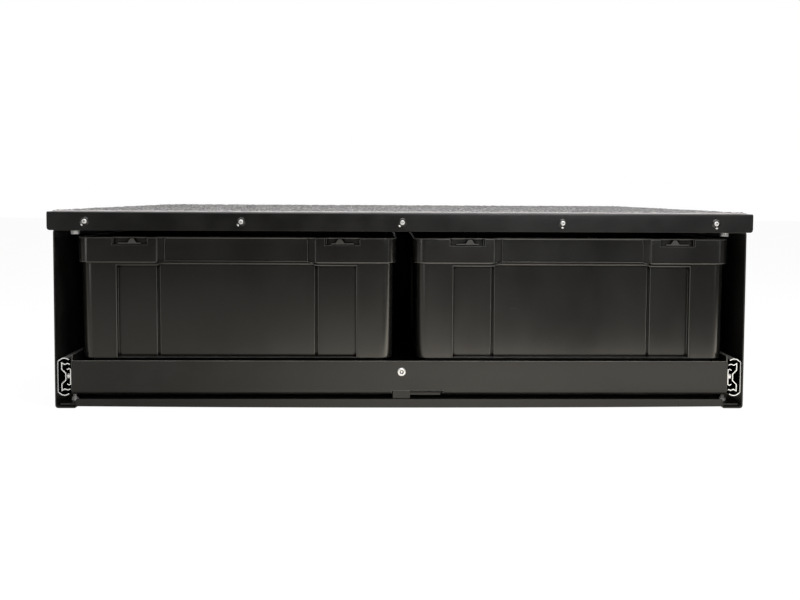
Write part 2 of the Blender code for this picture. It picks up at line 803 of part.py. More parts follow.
def make_tray():
    bm = bmesh.new()
    bmesh.ops.create_cube(bm, size=1)
    half = tray_sheet / 2
    size = (tray_width - tray_sheet, tray_rear - tray_front - tray_sheet, tray_side_height)
    middle = (0, (tray_front + tray_rear) / 2, tray_floor + half + tray_side_height / 2)
    bmesh.ops.transform(bm, matrix=Matrix.Translation(middle) @ Matrix.Diagonal((*size, 1)), verts=bm.verts)
    top = [face for face in bm.faces if face.normal.z > 1 / 2]
    bmesh.ops.delete(bm, geom=top, context="FACES_ONLY")
    bottom = [
        edge for edge in bm.edges
        if max(vert.co.z for vert in edge.verts) < tray_floor + tray_sheet
        and abs(edge.verts[0].co.y - edge.verts[1].co.y) < gap
    ]
    bmesh.ops.bevel(
        bm, geom=bottom, offset=tray_bend_radius, offset_type="OFFSET", segments=5, affect="EDGES", profile=0.5,
        material=-1,
    )
    mesh = finish_mesh("tray", bm)
    tray = add_object("tray", mesh, black_coat)
    solid = tray.modifiers.new("sheet", "SOLIDIFY")
    solid.thickness = tray_sheet
    solid.offset = 0
    solid.use_even_offset = True
    bake(tray)
    high = tray_floor + tray_sheet / 2 + tray_side_height + tray_sheet
    lip_top = tray_floor + tray_lip_height
    reach = tray_width / 2 - tray_sheet - gap
    for name, y in (("front", tray_front), ("rear", tray_rear)):
        boolean(tray, add_cutter(
            f"tray_{name}_lowering",
            block_mesh(
                "tray_lowering", (-reach, y - tray_bend_radius, lip_top), (reach, y + tray_bend_radius, high)
            ),
        ))
    boolean(tray, add_cutter(
        "latch_cutout",
        block_mesh(
            "latch_cutout", (-latch_cutout_left, tray_front - tray_sheet, tray_floor - tray_sheet),
            (latch_cutout_right, tray_front + latch_cutout_depth, tray_floor + latch_cutout_height),
        ),
    ))
    boolean(tray, add_cutter(
        "pivot_hole",
        cylinder_mesh(
            "pivot_hole", pivot_radius + pivot_clearance, (0, tray_front - tray_sheet, latch_pivot_height),
            (0, tray_front + 2 * tray_sheet, latch_pivot_height), 16,
        ),
    ))
    for side in (left, right):
        bm = bmesh.new()
        edge = side * (tray_width / 2 + tray_sheet)
        inner = side * (tray_width / 2 - tray_corner_cut_x)
        low = tray_floor - tray_sheet
        corner = [(edge, low), (inner, low), (inner, tray_floor - gap), (edge, tray_floor + tray_corner_cut_z)]
        face = bm.faces.new([bm.verts.new((x, tray_front - tray_sheet, z)) for x, z in corner])
        made = bmesh.ops.extrude_face_region(bm, geom=[face])
        moved = [item for item in made["geom"] if isinstance(item, bmesh.types.BMVert)]
        bmesh.ops.translate(bm, vec=(0, 2 * tray_sheet, 0), verts=moved)
        boolean(tray, add_cutter(f"lip_corner_{side_name(side)}", finish_mesh("lip_corner", bm)))
        for name, y in rivet_rows():
            boolean(tray, add_cutter(
                f"tray_rivet_hole_{name}_{side_name(side)}",
                cylinder_mesh(
                    "tray_rivet_hole", rivet_radius + hole_clearance,
                    (side * (tray_width / 2 - 2 * tray_sheet), y, slide_middle),
                    (side * (tray_width / 2 + tray_sheet), y, slide_middle), 12,
                ),
            ))
    bake(tray)


# Latch: lever plate on a pivot screw, with a nut and a torsion spring behind the lip

def make_latch():
    bm = bmesh.new()
    outline = []
    arc_steps = 10
    for step in range(arc_steps + 1):
        turn = math.pi * step / arc_steps
        outline.append((latch_top_radius * math.cos(turn), latch_top_radius * math.sin(turn)))
    outline += [
        (-latch_half_width, -latch_tab_depth),
        (latch_half_width - gap, -latch_tab_depth),
        (latch_half_width - gap, -latch_arm_low),
        (latch_arm_reach, -latch_arm_low),
        (latch_arm_reach, -latch_arm_high),
        (latch_half_width, -latch_arm_high),
    ]
    face = bm.faces.new([bm.verts.new((x, 0, z)) for x, z in outline])
    made = bmesh.ops.extrude_face_region(bm, geom=[face])
    moved = [item for item in made["geom"] if isinstance(item, bmesh.types.BMVert)]
    bmesh.ops.translate(bm, vec=(0, latch_plate, 0), verts=moved)
    lever = add_object("latch_lever", finish_mesh("latch_lever", bm), black_coat)
    boolean(lever, add_cutter(
        "lever_bore",
        cylinder_mesh("lever_bore", pivot_radius + pivot_clearance, (0, -latch_plate, 0), (0, 2 * latch_plate, 0), 20),
    ))
    bake(lever)
    lever.location = (0, latch_y, latch_pivot_height)

    depth = tray_sheet + gap + latch_plate + gap + spring_pitch * spring_turns + 2 * spring_wire + pivot_nut_height
    profile = [
        (0, pivot_head_height - pivot_socket_depth),
        (pivot_socket_radius, pivot_head_height - pivot_socket_depth),
        (pivot_socket_radius, pivot_head_height),
        (pivot_head_radius - pivot_head_edge, pivot_head_height),
        (pivot_head_radius, pivot_head_height - pivot_head_edge),
        (pivot_head_radius, gap),
        (pivot_radius, gap),
        (pivot_radius, -depth - gap),
        (0, -depth - gap),
    ]
    mesh = turned_mesh("latch_pivot_screw", profile, 20)
    mesh.transform(Matrix.Rotation(math.pi / 2, 4, "X"))
    screw = add_object("latch_pivot_screw", mesh, steel)
    screw.location = (0, tray_front, latch_pivot_height)
    shade(screw)
    nut = make_nut(
        "latch_pivot_nut", (0, 0, 0), pivot_nut_across_flats, pivot_nut_height, pivot_radius + hole_clearance
    )
    nut.rotation_euler = (math.pi / 2, 0, 0)
    nut.location = (0, tray_front + depth, latch_pivot_height)

    coil = bpy.data.curves.new("latch_spring", "CURVE")
    coil.dimensions = "3D"
    coil.bevel_depth = spring_wire / 2
    coil.bevel_resolution = 2
    coil.use_fill_caps = True
    turns = int(spring_turns * spring_steps_per_turn)
    start_y = latch_y + latch_plate + gap + spring_wire
    points = [(-spring_leg, start_y, -spring_coil_radius)]
    for step in range(turns + 1):
        turn = math.tau * step / spring_steps_per_turn - math.pi / 2
        points.append((
            spring_coil_radius * math.cos(turn), start_y + spring_pitch * step / spring_steps_per_turn,
            spring_coil_radius * math.sin(turn),
        ))
    last = Vector(points[-1])
    points.append((last.x, last.y, last.z + spring_leg))
    line = coil.splines.new("POLY")
    line.points.add(len(points) - 1)
    for point, place in zip(line.points, points):
        point.co = (*place, 1)
    guide = bpy.data.objects.new("latch_spring_guide", coil)
    cutters.objects.link(guide)
    guide.location = (0, 0, latch_pivot_height)
    bpy.context.view_layer.update()
    mesh = evaluated_mesh(guide, "latch_spring")
    bpy.data.objects.remove(guide, do_unlink=True)
    bm = bmesh.new()
    bm.from_mesh(mesh)
    bmesh.ops.remove_doubles(bm, verts=bm.verts, dist=gap / 100)
    bmesh.ops.recalc_face_normals(bm, faces=bm.faces)
    bm.to_mesh(mesh)
    bm.free()
    spring = add_object("latch_spring", mesh, spring_steel)
    shade(spring)


# Storage boxes: a drafted shell with pilasters and a stepped rim, the same mesh four times

def box_outline(width, depth, radius, half_front, half_side):
    """Points round the box's outline, counter-clockwise.

    half_front and half_side list the points from a corner to the middle of a face, as pairs of the distance from
    the middle and how far the face lies back there.
    """
    half_x, half_y = width / 2, depth / 2
    points = []

    def corner(centre_x, centre_y, first_turn):
        for step in range(corner_steps + 1):
            turn = first_turn + math.pi / 2 * step / corner_steps
            points.append((centre_x + radius * math.cos(turn), centre_y + radius * math.sin(turn)))

    corner(-half_x + radius, -half_y + radius, math.pi)
    points.extend((-x, -half_y + back) for x, back in half_front)
    points.extend((x, -half_y + back) for x, back in reversed(half_front))
    corner(half_x - radius, -half_y + radius, -math.pi / 2)
    points.extend((half_x - back, -y) for y, back in half_side)
    points.extend((half_x - back, y) for y, back in reversed(half_side))
    corner(half_x - radius, half_y - radius, 0)
    points.extend((x, half_y - back) for x, back in half_front)
    points.extend((-x, half_y - back) for x, back in reversed(half_front))
    corner(-half_x + radius, half_y - radius, math.pi / 2)
    points.extend((-half_x + back, y) for y, back in half_side)
    points.extend((-half_x + back, -y) for y, back in reversed(half_side))
    return points


def body_outline(inset, inward):
    """The body's outline, drawn in by inset for the draft and offset inward for the inner wall."""
    width = box_body_width - 2 * inset - 2 * inward
    depth = box_body_depth - 2 * inset - 2 * inward
    corner_x = box_body_width / 2 - box_corner_zone + inward
    corner_y = box_body_depth / 2 - box_side_zone + inward
    groove = box_panel_depth + box_groove_depth
    half_groove = box_groove_half + inward
    half_front = [
        (corner_x - 2 * inward, 0),
        (corner_x - 2 * inward, box_panel_depth),
        (box_centre_half + half_groove, box_panel_depth),
        (box_centre_half + half_groove, groove),
        (box_centre_half - half_groove, groove),
        (box_centre_half - half_groove, box_panel_depth),
    ]
    half_side = [(corner_y - 2 * inward, 0), (corner_y - 2 * inward, box_panel_depth)]
    return box_outline(width, depth, box_corner_radius - inward, half_front, half_side)


def rim_outline(step, inward, notch=0):
    """The rim's outline, grown by step from the body's, offset inward for the inner wall, with the notches' depth."""
    width = box_body_width + 2 * step - 2 * inward
    depth = box_body_depth + 2 * step - 2 * inward
    corner_y = box_body_depth / 2 - box_side_zone
    centre = box_rim_centre_half
    half_front = [
        (box_notch_middle + box_notch_half, 0),
        (box_notch_middle + box_notch_half - box_notch_slope, notch),
        (box_notch_middle - box_notch_half + box_notch_slope, notch),
        (box_notch_middle - box_notch_half, 0),
        (centre + box_groove_half, 0),
        (centre, box_rim_setback if step else 0),
    ]
    half_side = [(corner_y, 0), (corner_y - box_groove_half, 0)]
    return box_outline(width, depth, box_corner_radius + step - inward, half_front, half_side)


def make_box_mesh():
    bm = bmesh.new()
    ledge = box_height - box_rim_height
    notch_floor = box_height - box_notch_height
    levels = [
        (body_outline(box_draft + box_foot_chamfer, 0), 0),
        (body_outline(box_draft, 0), box_foot_chamfer),
        (body_outline(0, 0), ledge - box_rim_step),
        (rim_outline(0, 0), ledge),
        (rim_outline(box_rim_step, 0), ledge),
        (rim_outline(box_rim_step, 0), notch_floor),
        (rim_outline(box_rim_step, 0, box_notch_depth), notch_floor),
        (rim_outline(box_rim_step, 0, box_notch_depth), box_height - box_rim_edge),
        (rim_outline(box_rim_step - box_rim_edge, 0, box_notch_depth - box_rim_edge), box_height),
        (rim_outline(0, box_wall), box_height),
        (rim_outline(0, box_wall), ledge),
        (body_outline(0, box_wall), ledge - box_rim_step),
        (body_outline(box_draft, box_wall), box_foot_chamfer + box_wall),
    ]
    loops = [[bm.verts.new((x, y, height)) for x, y in outline] for outline, height in levels]
    for lower, upper in zip(loops, loops[1:]):
        for at in range(len(lower)):
            bm.faces.new((lower[at - 1], lower[at], upper[at], upper[at - 1]))
    for loop in (loops[0], loops[-1]):
        bm.faces.new(loop)
    bmesh.ops.remove_doubles(bm, verts=bm.verts, dist=gap / 100)
    bmesh.ops.triangulate(bm, faces=bm.faces)
    return finish_mesh("storage_box", bm)


def make_boxes():
    shape = make_box_mesh()
    side_step = (box_rim_width + box_middle_gap) / 2
    for row, row_name in enumerate(("front", "rear")):
        middle_y = box_front + box_rim_depth / 2 + row * (box_rim_depth + box_row_gap)
        for side in (left, right):
            box = add_object(f"storage_box_{row_name}_{side_name(side)}", shape, box_black)
            box.location = (box_shift + side * side_step, middle_y, box_floor)


make_deck()
make_carcass()
make_slides()
make_tray()
make_latch()
make_boxes()
for helper in list(cutters.objects):
    bpy.data.objects.remove(helper, do_unlink=True)
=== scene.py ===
import json
import math

import bmesh
import bpy
from mathutils import Matrix, Vector, noise

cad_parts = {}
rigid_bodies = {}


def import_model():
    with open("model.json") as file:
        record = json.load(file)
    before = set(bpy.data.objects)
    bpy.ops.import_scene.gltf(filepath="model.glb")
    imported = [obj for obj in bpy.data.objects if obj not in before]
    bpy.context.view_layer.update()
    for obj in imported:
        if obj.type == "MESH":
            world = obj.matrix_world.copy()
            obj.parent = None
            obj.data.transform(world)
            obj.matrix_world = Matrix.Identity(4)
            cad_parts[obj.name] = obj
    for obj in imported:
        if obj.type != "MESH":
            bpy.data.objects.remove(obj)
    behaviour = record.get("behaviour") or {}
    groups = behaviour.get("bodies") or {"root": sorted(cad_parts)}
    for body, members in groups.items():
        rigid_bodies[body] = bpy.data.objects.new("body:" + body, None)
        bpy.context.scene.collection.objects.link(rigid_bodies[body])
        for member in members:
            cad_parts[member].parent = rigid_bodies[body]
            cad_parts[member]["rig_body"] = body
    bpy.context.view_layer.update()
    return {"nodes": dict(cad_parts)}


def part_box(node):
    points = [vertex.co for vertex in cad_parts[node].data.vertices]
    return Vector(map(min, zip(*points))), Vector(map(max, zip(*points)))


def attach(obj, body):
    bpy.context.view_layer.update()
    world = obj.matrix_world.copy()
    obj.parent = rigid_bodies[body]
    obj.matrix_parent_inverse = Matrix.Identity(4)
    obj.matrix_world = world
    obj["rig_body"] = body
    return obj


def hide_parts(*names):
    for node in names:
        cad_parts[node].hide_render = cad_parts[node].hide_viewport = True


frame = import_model()
nodes = frame["nodes"]
tiny = 1e-6  # merge distance for points that belong together
print("frame loaded:", len(nodes), "nodes")


# shader maths: a link is a number on its way, and + - * / on it add Math nodes
class Link:
    def __init__(self, owner, socket):
        self.owner = owner
        self.socket = socket

    def math(self, operation, *values):
        return self.owner.add("ShaderNodeMath", {"operation": operation}, dict(enumerate(values)))

    def __add__(self, other):
        return self.math("ADD", self, other)

    def __sub__(self, other):
        return self.math("SUBTRACT", self, other)

    def __rsub__(self, other):
        return self.math("SUBTRACT", other, self)

    def __mul__(self, other):
        return self.math("MULTIPLY", self, other)

    def __truediv__(self, other):
        return self.math("DIVIDE", self, other)

    def __rtruediv__(self, other):
        return self.math("DIVIDE", other, self)

    def __abs__(self):
        return self.math("ABSOLUTE", self)

    __radd__ = __add__
    __rmul__ = __mul__

    def most(self, other):
        return self.math("MAXIMUM", self, other)

    def above(self, other):
        return self.math("GREATER_THAN", self, other)

    def fold(self, period):
        return self.math("PINGPONG", self, period)

    def ramp(self, low, high, start=0.0, end=1.0):
        # eases from start at low to end at high
        return self.owner.add("ShaderNodeMapRange", {"clamp": True, "interpolation_type": "SMOOTHSTEP"},
                              {"Value": self, "From Min": low, "From Max": high, "To Min": start, "To Max": end})


class NodeTree:
    def __init__(self, tree):
        self.tree = tree

    def add(self, kind, settings=None, inputs=None, output=0):
        node = self.tree.nodes.new(kind)
        for setting, value in (settings or {}).items():
            setattr(node, setting, value)
        for key, value in (inputs or {}).items():
            if isinstance(value, Link):
                self.tree.links.new(value.socket, node.inputs[key])
            else:
                node.inputs[key].default_value = value
        return Link(self, node.outputs[output])

    def path(self, kind):
        return self.add("ShaderNodeLightPath", output=f"Is {kind} Ray")


class Finish(NodeTree):
    def __init__(self, name, fixed):
        self.material = bpy.data.materials.new(name)
        self.material.use_nodes = True
        super().__init__(self.material.node_tree)
        self.shader = self.tree.nodes["Principled BSDF"]
        for socketName, value in fixed.items():
            self.shader.inputs[socketName].default_value = value
        self.place = self.add("ShaderNodeTexCoord", output="Object")

    def feed(self, links):
        for socketName, link in links.items():
            self.tree.links.new(link.socket, self.shader.inputs[socketName])

    def noise(self, scale, detail, rough=0.55, along=None):
        where = self.place
        if along:
            where = self.add("ShaderNodeMapping", {}, {"Vector": where, "Scale": along})
        return self.add("ShaderNodeTexNoise", {},
                        {"Vector": where, "Scale": scale, "Detail": detail, "Roughness": rough})

    def cells(self, scale):
        return self.add("ShaderNodeTexVoronoi", {"feature": "F1"}, {"Vector": self.place, "Scale": scale}, "Distance")

    def axis(self, name):
        return self.add("ShaderNodeSeparateXYZ", {}, {"Vector": self.place}, name)

    def facing(self, name):
        return self.add("ShaderNodeSeparateXYZ", {},
                        {"Vector": self.add("ShaderNodeNewGeometry", output="Normal")}, name)

    def mix(self, share, first, second):
        # a Mix node takes its colours at 6 and 7 and gives the mixed one at 2
        first, second = [(*colour, 1.0) if isinstance(colour, tuple) else colour for colour in (first, second)]
        return self.add("ShaderNodeMix", {"data_type": "RGBA"}, {0: share, 6: first, 7: second}, 2)

    def bump(self, height, distance, strength, under=None):
        inputs = {"Height": height, "Distance": distance, "Strength": strength}
        if under is not None:
            inputs["Normal"] = under
        return self.add("ShaderNodeBump", {}, inputs)

    def show(self, link):
        self.tree.links.new(link.socket, self.tree.nodes["Material Output"].inputs["Surface"])

    def shadeCavities(self, reach, shut, clear, colour):
        # painted shade: narrow corners, found by ambient occlusion, turn to a matte dark surface
        openness = self.add("ShaderNodeAmbientOcclusion", {"samples": 8}, {"Distance": reach}, "AO").ramp(shut, clear)
        cavityShade = self.add("ShaderNodeBsdfDiffuse", {}, {"Color": (*colour, 1.0)})
        self.show(self.add("ShaderNodeMixShader", {}, {0: openness, 1: cavityShade, 2: Link(self, self.shader.outputs[0])}))


# finishes: the parts of a noise's range that a blend takes, and the value that an even noise stays round
wideBlend, softBlend, crispBlend = (0.3, 0.7), (0.35, 0.65), (0.4, 0.6)
noiseMiddle = 0.5


def shades(look, strength=1.0):
    return [tuple(part * strength for part in look[key]) for key in ("dark", "light")]


powder = {
    "dark": (0.0080, 0.0079, 0.0072), "light": (0.0120, 0.0118, 0.0106), "rough": (0.42, 0.50), "patch": 26.0,
    "grain": 1500.0, "grainHeight": 0.00006, "grainRough": 0.10, "orange": 230.0, "orangeHeight": 0.00005,
    "relief": 0.5, "rub": 9.0, "rubAlong": (1.0, 1.0, 2.4), "rubBlend": (0.52, 0.74), "rubRough": 0.05,
}


def powderCoat(name, ior, toneScale=1.0, rougher=0.0):
    finish = Finish(name, {"IOR": ior})
    patches = finish.noise(powder["patch"], detail=4.0)
    grain = finish.noise(powder["grain"], detail=2.0)
    orange = finish.noise(powder["orange"], detail=2.0)
    rub = finish.noise(powder["rub"], detail=5.0, rough=0.62, along=powder["rubAlong"]).ramp(*powder["rubBlend"])
    finish.feed({
        "Base Color": finish.mix(patches.ramp(*softBlend), *shades(powder, toneScale)),
        "Roughness": patches.ramp(*wideBlend, *powder["rough"]) + rougher + rub * powder["rubRough"]
        + (grain - noiseMiddle) * powder["grainRough"],
        "Normal": finish.bump(grain, powder["grainHeight"], powder["relief"],
                              finish.bump(orange, powder["orangeHeight"], powder["relief"])),
    })
    return finish.material


gloss = {"dark": (0.006, 0.006, 0.006), "light": (0.012, 0.012, 0.012), "rough": (0.10, 0.20), "speck": 700.0,
         "ior": 1.7}


def glossCoat(name):
    finish = Finish(name, {"IOR": gloss["ior"]})
    specks = finish.noise(gloss["speck"], detail=3.0)
    finish.feed({
        "Base Color": finish.mix(specks.ramp(*crispBlend), *shades(gloss)),
        "Roughness": specks.ramp(*wideBlend, *gloss["rough"]),
    })
    return finish.material


moulded = {
    "dark": (0.0085, 0.0082, 0.0075), "light": (0.0120, 0.0116, 0.0106), "rough": (0.19, 0.26), "ior": 1.6,
    "flow": 7.0, "flowAlong": (1.0, 1.0, 0.5), "texture": 1900.0, "textureHeight": 0.00003, "textureRough": 0.04,
    "relief": 0.4, "scuff": 60.0, "scuffAlong": (0.3, 1.0, 5.0), "scuffBlend": (0.62, 0.80), "scuffRough": 0.08,
    # the cavity entry sets the painted shade in narrow corners
    "cavity": {"reach": 0.006, "shut": 0.45, "clear": 0.85, "colour": (0.0015, 0.0015, 0.0014)},
}


def mouldedPlastic(name, wearAndHighlight=1.0):
    # the colour is paler by so many times; the pale copies carry painted highlights on edges and catches
    finish = Finish(name, {"IOR": moulded["ior"]})
    flow = finish.noise(moulded["flow"], detail=5.0, rough=0.6, along=moulded["flowAlong"])
    texture = finish.noise(moulded["texture"], detail=2.0)
    scuff = finish.noise(moulded["scuff"], detail=6.0, rough=0.7, along=moulded["scuffAlong"])
    scuff = scuff.ramp(*moulded["scuffBlend"])
    finish.feed({
        "Base Color": finish.mix(flow.ramp(*softBlend), *shades(moulded, wearAndHighlight)),
        "Roughness": flow.ramp(*softBlend, *moulded["rough"]) + scuff * moulded["scuffRough"]
        + (texture - noiseMiddle) * moulded["textureRough"],
        "Normal": finish.bump(texture, moulded["textureHeight"], moulded["relief"]),
    })
    finish.shadeCavities(**moulded["cavity"])
    return finish.material


zinc = {
    "dark": (0.90, 0.90, 0.89), "light": (0.98, 0.98, 0.97), "paintedShade": (0.16, 0.16, 0.155), "metal": 0.25,
    "rough": (0.30, 0.42), "rolled": 900.0, "rolledAlong": (1.0, 0.02, 1.0), "rolledHeight": 0.00003,
    "rolledRough": 0.12, "relief": 0.5, "bloom": 70.0, "bloomBlend": (0.38, 0.62), "cutBlend": (0.45, 0.75),
    # the cavity entry sets the painted shade in narrow corners
    "cavity": {"reach": 0.015, "shut": 0.50, "clear": 0.88, "colour": (0.004, 0.004, 0.004)},
}


def zincSheet(name):
    finish = Finish(name, {"Metallic": zinc["metal"]})
    rolled = finish.noise(zinc["rolled"], detail=3.0, rough=0.6, along=zinc["rolledAlong"])
    bloom = finish.noise(zinc["bloom"], detail=4.0)
    # only the cut ends keep the bright zinc; the running faces are painted dark, as painted shade
    cut = abs(finish.facing("Y"))
    zincTone = finish.mix(bloom.ramp(*zinc["bloomBlend"]), *shades(zinc))
    finish.feed({
        "Base Color": finish.mix(cut.ramp(*zinc["cutBlend"]), zinc["paintedShade"], zincTone),
        "Roughness": bloom.ramp(*wideBlend, *zinc["rough"]) + (rolled - noiseMiddle) * zinc["rolledRough"],
        "Normal": finish.bump(rolled, zinc["rolledHeight"], zinc["relief"]),
    })
    finish.shadeCavities(**zinc["cavity"])
    return finish.material


turned = {"dark": (0.86, 0.85, 0.83), "light": (0.96, 0.95, 0.93), "rough": (0.26, 0.38), "smear": 420.0,
          "lathe": 2600.0, "latheHeight": 0.00002, "relief": 0.4}


def turnedSteel(name, metal):
    finish = Finish(name, {"Metallic": metal})
    smear = finish.noise(turned["smear"], detail=3.0)
    finish.feed({
        "Base Color": finish.mix(smear.ramp(*crispBlend), *shades(turned)),
        "Roughness": smear.ramp(*wideBlend, *turned["rough"]),
        "Normal": finish.bump(finish.noise(turned["lathe"], detail=2.0), turned["latheHeight"], turned["relief"]),
    })
    return finish.material


wire = {"dark": (0.30, 0.30, 0.31), "light": (0.46, 0.46, 0.47), "rough": (0.28, 0.42), "scale": 800.0,
        "metal": 1.0}


def springWire(name):
    finish = Finish(name, {"Metallic": wire["metal"]})
    scale = finish.noise(wire["scale"], detail=3.0)
    finish.feed({
        "Base Color": finish.mix(scale.ramp(*crispBlend), *shades(wire)),
        "Roughness": scale.ramp(*wideBlend, *wire["rough"]),
    })
    return finish.material


pile = {
    "dark": (0.045, 0.044, 0.044), "mid": (0.28, 0.272, 0.272), "light": (0.70, 0.68, 0.675),
    "backing": (0.74, 0.70, 0.69), "rough": 0.95, "sheen": 0.25, "sheenRough": 0.6,
    "fleck": 430.0, "fleckAlong": (1.0, 0.22, 1.0), "midBlend": (0.42, 0.56), "lightBlend": (0.50, 0.62),
    "tuft": 420.0, "wearAndHighlight": 5.0, "wornShare": 0.18, "cutBlend": (0.45, 0.8), "height": 0.0009, "relief": 0.8,
}


def carpetPile(name):
    finish = Finish(name, {"Roughness": pile["rough"], "Sheen Weight": pile["sheen"],
                           "Sheen Roughness": pile["sheenRough"]})
    # fibres lie front to back
    flecks = finish.noise(pile["fleck"], detail=4.0, rough=0.8, along=pile["fleckAlong"])
    tufts = finish.cells(pile["tuft"])
    wearAndHighlight = finish.noise(pile["wearAndHighlight"], detail=4.0)
    base = finish.mix(flecks.ramp(*pile["midBlend"]), pile["dark"], pile["mid"])
    bright = finish.mix(flecks.ramp(*pile["lightBlend"]), base, pile["light"])
    cut = abs(finish.facing("Y")).ramp(*pile["cutBlend"])  # cut edges show the pale backing
    top = finish.mix(wearAndHighlight.ramp(*wideBlend, 0.0, pile["wornShare"]), bright, pile["mid"])
    finish.feed({
        "Base Color": finish.mix(cut, top, pile["backing"]),
        "Normal": finish.bump(tufts + flecks, pile["height"], pile["relief"]),
    })
    return finish.material


plywood = {
    "dark": (0.060, 0.038, 0.022), "light": (0.115, 0.078, 0.048), "fibre": (0.05, 0.03, 0.018),
    "film": (0.020, 0.015, 0.012), "rough": (0.55, 0.75), "ior": 1.5, "ply": 0.0014,
    "grain": 40.0, "grainAlong": (0.15, 1.0, 12.0), "grainShare": 0.6, "grainHeight": 0.0003, "relief": 0.5,
    "flat": 0.5,
}


def filmPly(name):
    finish = Finish(name, {"IOR": plywood["ior"]})
    height = finish.axis("Z")
    plies = (height / plywood["ply"]).fold(1.0).ramp(*softBlend)
    grain = finish.noise(plywood["grain"], detail=6.0, rough=0.65, along=plywood["grainAlong"])
    core = finish.mix(plies, *shades(plywood))
    filmed = abs(finish.facing("Z")).above(plywood["flat"])  # top and bottom
    edge = finish.mix(grain * plywood["grainShare"], core, plywood["fibre"])
    finish.feed({
        "Base Color": finish.mix(filmed, edge, plywood["film"]),
        "Roughness": grain.ramp(*wideBlend, *plywood["rough"]),
        "Normal": finish.bump(grain, plywood["grainHeight"], plywood["relief"]),
    })
    return finish.material


blackCoat = powderCoat("black_powder_coat", ior=1.45)
# the trim coat is the powder coat at half its colour and a little smoother; the halved colour is painted shade
trimCoat = powderCoat("black_trim_coat", ior=1.46, toneScale=0.5, rougher=-0.13)
glossBlack = glossCoat("black_gloss_ring")
boxPlastic = mouldedPlastic("moulded_black_plastic")
# painted highlight: the lid catches and the strips round their windows are pale plastic
catchHighlightPlastic = mouldedPlastic("catch_painted_highlight_plastic", wearAndHighlight=9.0)
# painted highlight: a pale plastic for the boxes' bevelled edges
edgeHighlightPlastic = mouldedPlastic("painted_edge_highlight_plastic", wearAndHighlight=7.5)
# painted highlight: a pale copy of the powder coat for the tray's bevelled edges
edgeHighlightCoat = powderCoat("painted_edge_highlight_coat", ior=1.5, toneScale=20.0, rougher=-0.10)
brightZinc = zincSheet("bright_zinc_sheet")
screwSteel = turnedSteel("turned_screw_steel", metal=0.35)
paleZinc = turnedSteel("pale_zinc_nut", metal=0.0)
springSteel = springWire("spring_wire_steel")
# painted shade: the socket walls of the screws take a dark plastic
socketShade = mouldedPlastic("painted_shade_socket_wall", wearAndHighlight=3.0)
carpetFinish = carpetPile("needled_carpet_pile")
boardFinish = filmPly("film_faced_ply")
print("finishes made")


# angles in degrees: facets that become one face, edges that a bevel rounds, and no sharp edge at all
flatAngle, bevelAngle, allSmooth = 0.8, 40.0, 180.0


def vertsOf(made):
    return [item for item in made if isinstance(item, bmesh.types.BMVert)]


def edgesOf(made):
    return [item for item in made if isinstance(item, bmesh.types.BMEdge)]


def openEdges(edges):
    return [edge for edge in edges if edge.is_boundary]


def place(name, bm, material, body, replaced, sharp):
    mesh = bpy.data.meshes.new(name)
    bm.to_mesh(mesh)
    bm.free()
    mesh.materials.append(material)
    mesh.shade_smooth()
    mesh.set_sharp_from_angle(angle=math.radians(sharp))
    piece = bpy.data.objects.new(name, mesh)
    bpy.context.scene.collection.objects.link(piece)
    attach(piece, body)
    if replaced:
        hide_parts(*replaced)
    return piece


def settle(name, bm, material, body, replaced=(), sharp=32.0):
    bmesh.ops.recalc_face_normals(bm, faces=bm.faces)
    return place(name, bm, material, body, replaced, sharp)


def cleanCopy(nodeName):
    bm = bmesh.new()
    bm.from_mesh(nodes[nodeName].data)
    bmesh.ops.remove_doubles(bm, verts=bm.verts, dist=tiny)
    bmesh.ops.dissolve_limit(bm, angle_limit=math.radians(flatAngle), verts=bm.verts, edges=bm.edges)
    for face in bm.faces:
        face.material_index = 0
    return bm


def softEdges(piece, width, angle=bevelAngle, edgeHighlight=None):
    bevel = piece.modifiers.new("soft edges", "BEVEL")
    # a pale material on the bevel faces is a painted highlight along the edges
    if edgeHighlight:
        piece.data.materials.append(edgeHighlight)
        bevel.material = len(piece.data.materials) - 1
    bevel.width = width
    bevel.segments = 2
    bevel.limit_method = "ANGLE"
    bevel.angle_limit = math.radians(angle)
    bevel.use_clamp_overlap = False
    even = piece.modifiers.new("even shading", "WEIGHTED_NORMAL")
    even.keep_sharp = False
    even.weight = 100


def refined(nodeName, material, edge, edgeHighlight=None):
    body = nodes[nodeName]["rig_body"]
    piece = place(nodeName + "_shown", cleanCopy(nodeName), material, body, (nodeName,), allSmooth)
    softEdges(piece, edge, edgeHighlight=edgeHighlight)


def paint(nodeName, material):
    nodes[nodeName].data.materials.clear()
    nodes[nodeName].data.materials.append(material)


# sheet metal and hardware, kept in their solid's shape with softened edges
sheetEdges = {
    "side_plate_left": 0.00035, "side_plate_right": 0.00035, "base_crossmember_front": 0.0003,
    "base_crossmember_rear": 0.0003, "rear_panel": 0.00025, "deck_front_trim": 0.0004, "tray": 0.00035,
    "latch_lever": 0.0003,
}
hardwareEdges = {"slide": 0.0002, "rivet": 0.0002, "nut": 0.0003, "bolt": 0.0003, "spring": 0.00002}

